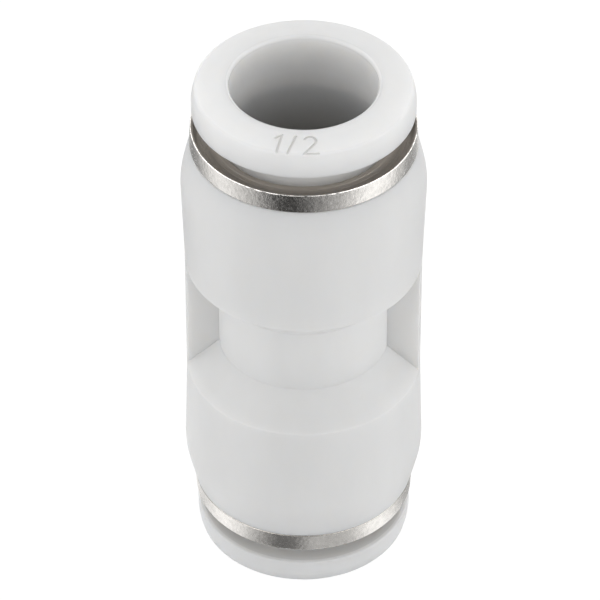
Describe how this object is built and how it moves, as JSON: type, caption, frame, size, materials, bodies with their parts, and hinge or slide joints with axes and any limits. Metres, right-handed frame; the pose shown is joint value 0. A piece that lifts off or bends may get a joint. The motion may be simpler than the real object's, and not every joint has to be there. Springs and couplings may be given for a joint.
{
  "type": "push-in tube union",
  "caption": "Straight push-in union that joins two plastic air or water tubes, with a white body, plated collars and release buttons that press in.",
  "frame": {"origin": "middle of the body, on the axis of both tubes", "axes": "+Z along the tube axis, out of the top release button; +X along the moulded web that has the gate mark"},
  "size_m": [0.0216, 0.0216, 0.0506],
  "materials": {
    "body_plastic": "satin moulded, greyish white",
    "button_plastic": "satin moulded, white",
    "spacer_plastic": "moulded",
    "nickel_plate": "nickel plate over a drawn surface, fine grain",
    "spring_steel": "stamped stainless sheet",
    "seal_rubber": "moulded rubber"
  },
  "bodies": {
    "fitting": {"body": "body_plastic", "top_lip_seal": "seal_rubber", "top_spacer_ring": "spacer_plastic", "top_lock_claw": "spring_steel", "top_guide_collar": "nickel_plate", "bottom_lip_seal": "seal_rubber", "bottom_spacer_ring": "spacer_plastic", "bottom_lock_claw": "spring_steel", "bottom_guide_collar": "nickel_plate"},
    "top_button": {"top_release_button": "button_plastic"},
    "bottom_button": {"bottom_release_button": "button_plastic"}
  },
  "joints": [
    {"name": "top_button_press", "type": "slide", "parent": "fitting", "child": "top_button", "axis": [0, 0, -1], "range_m": [0, 0.00165], "stiffness_N_per_m": 2000, "springref_m": -0.0005, "deforming": ["top_lock_claw"]},
    {"name": "bottom_button_press", "type": "slide", "parent": "fitting", "child": "bottom_button", "axis": [0, 0, 1], "range_m": [0, 0.00165], "stiffness_N_per_m": 2000, "springref_m": -0.0005, "deforming": ["bottom_lock_claw"]}
  ]
}
